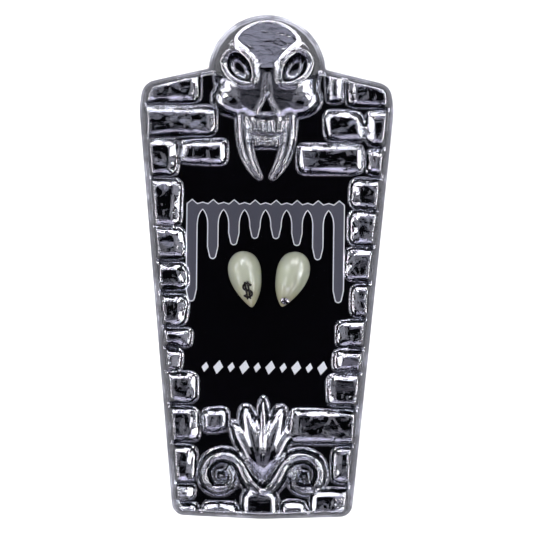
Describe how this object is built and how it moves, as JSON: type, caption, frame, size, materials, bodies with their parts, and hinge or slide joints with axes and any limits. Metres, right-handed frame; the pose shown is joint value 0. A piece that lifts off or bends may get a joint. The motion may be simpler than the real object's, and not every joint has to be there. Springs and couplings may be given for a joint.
{
  "type": "pair of vampire fang caps in a coffin display case",
  "caption": "Hollow ivory fang caps for the eye teeth, lying on a black card in a clear coffin-shaped case with a stone border, a skull boss and scrollwork.",
  "frame": {"origin": "middle of the footprint, on the surface that the case lies on, under the back tray", "axes": "+X to the right seen from the front, +Y toward the coffin's head, +Z out of the case's front"},
  "size_m": [0.0762, 0.1515, 0.0206],
  "materials": {
    "clear_plastic": "clear thermoformed sheet, high gloss",
    "black_card": "black printed card with a satin coat",
    "fang_ivory": "polished greenish ivory dental acrylic, slightly translucent",
    "dark_metal": "blackened metal with brown edges",
    "crystal": "polished faceted crystal, foiled back"
  },
  "bodies": {
    "root": {"case_tray": "clear_plastic", "backing_card": "black_card", "case_cover": "clear_plastic", "fang_left": "fang_ivory", "fang_right": "fang_ivory", "dollar_charm": "dark_metal", "crystal": "crystal"}
  },
  "joints": []
}
